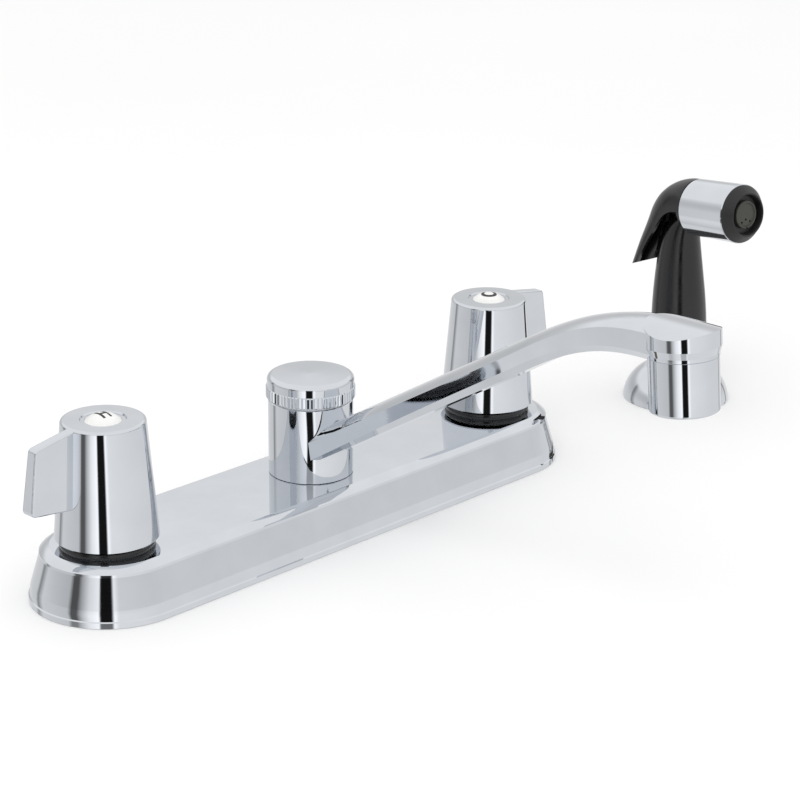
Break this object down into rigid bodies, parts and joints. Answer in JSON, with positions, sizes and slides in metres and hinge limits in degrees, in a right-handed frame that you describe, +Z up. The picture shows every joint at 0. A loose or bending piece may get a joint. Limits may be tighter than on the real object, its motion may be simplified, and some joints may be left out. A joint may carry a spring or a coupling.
{
  "type": "two handle kitchen faucet",
  "caption": "Chromed two-handle deck faucet with a long deck plate, a swinging low-arc spout, blade handles on tapered hubs and a black side sprayer in its own holder.",
  "frame": {"origin": "Centre of the deck plate on the deck surface, midway between the two threaded shanks.", "axes": "+X from the spout to the cold handle, -Y from the spout's hub towards the user, +Z up."},
  "size_m": [0.3777, 0.2178, 0.1793],
  "materials": {
    "chrome": "polished",
    "brass": "machined",
    "copper": "drawn tube",
    "black_plastic": "semi-gloss",
    "grey_plastic": "matte",
    "white_plastic": "gloss",
    "rubber": "matte",
    "steel": "satin",
    "ceramic": "lapped"
  },
  "bodies": {
    "base": {"deck_plate": "chrome", "deck_gasket": "rubber", "centre_post": "brass", "lower_spout_o_ring": "rubber", "upper_spout_o_ring": "rubber", "spout_washer": "white_plastic", "spout_nut": "chrome", "spray_holder": "chrome", "spray_holder_gasket": "rubber", "spray_holder_washer": "steel", "spray_holder_nut": "grey_plastic", "hot_valve_body": "brass", "cold_valve_body": "brass", "hot_deck_nut": "black_plastic", "cold_deck_nut": "black_plastic", "hot_seat_seal": "rubber", "cold_seat_seal": "rubber", "hot_cartridge": "brass", "cold_cartridge": "brass", "hot_fixed_disc": "ceramic", "cold_fixed_disc": "ceramic", "hot_bonnet_nut": "brass", "cold_bonnet_nut": "brass", "hot_lock_washer": "steel", "cold_lock_washer": "steel", "hot_lock_nut": "grey_plastic", "cold_lock_nut": "grey_plastic", "hot_waterway_tube": "copper", "cold_waterway_tube": "copper"},
    "hot_handle": {"hot_handle": "chrome", "hot_stem": "brass", "hot_moving_disc": "ceramic", "hot_handle_screw": "steel", "hot_index_button": "white_plastic"},
    "cold_handle": {"cold_handle": "chrome", "cold_stem": "brass", "cold_moving_disc": "ceramic", "cold_handle_screw": "steel", "cold_index_button": "white_plastic"},
    "spout": {"spout": "chrome", "aerator_shell": "chrome", "aerator_insert": "white_plastic", "aerator_screen": "steel", "aerator_washer": "rubber"},
    "diverter": {"diverter": "white_plastic"},
    "coupling": {"hose_coupling": "brass", "coupling_washer": "rubber"},
    "sprayer": {"sprayer_grip": "black_plastic", "head_sleeve": "chrome", "nozzle_ring": "black_plastic", "spray_disc": "grey_plastic", "lever_pin": "steel", "sprayer_valve_gland": "brass"},
    "spray_lever": {"spray_lever": "black_plastic"},
    "spray_valve": {"sprayer_valve_stem": "steel", "sprayer_valve_seal": "rubber", "sprayer_valve_spring": "steel"}
  },
  "joints": [
    {"name": "hot_turn", "type": "hinge", "parent": "base", "child": "hot_handle", "pos_m": [-0.1016, 0, 0.04], "axis": [0, 0, 1], "range_deg": [0, 90]},
    {"name": "cold_turn", "type": "hinge", "parent": "base", "child": "cold_handle", "pos_m": [0.1016, 0, 0.04], "axis": [0, 0, -1], "range_deg": [0, 90]},
    {"name": "spout_swing", "type": "hinge", "parent": "base", "child": "spout", "pos_m": [0, 0, 0.04], "axis": [0, 0, 1], "continuous": true},
    {"name": "diverter_lift", "type": "slide", "parent": "base", "child": "diverter", "axis": [0, 0, 1], "range_m": [0, 0.004]},
    {"name": "sprayer_lift", "type": "slide", "parent": "base", "child": "coupling", "axis": [0, 0, 1], "range_m": [0, 0.15]},
    {"name": "sprayer_turn", "type": "hinge", "parent": "coupling", "child": "sprayer", "pos_m": [0.2152, -0.0119, 0.04], "axis": [0, 0, 1], "range_deg": [-180, 180]},
    {"name": "lever_press", "type": "hinge", "parent": "sprayer", "child": "spray_lever", "pos_m": [0.21485, -0.01438, 0.0885], "axis": [-0.9903, 0.1392, 0], "range_deg": [0, 5], "stiffness_Nm_per_rad": 0.8},
    {"name": "valve_press", "type": "slide", "parent": "sprayer", "child": "spray_valve", "axis": [0, 0, -1], "range_m": [0, 0.00055], "deforming": ["sprayer_valve_spring"]}
  ],
  "couplings": [
    {"joint": "valve_press", "follows": "lever_press", "m_per_rad": 0.0063}
  ]
}
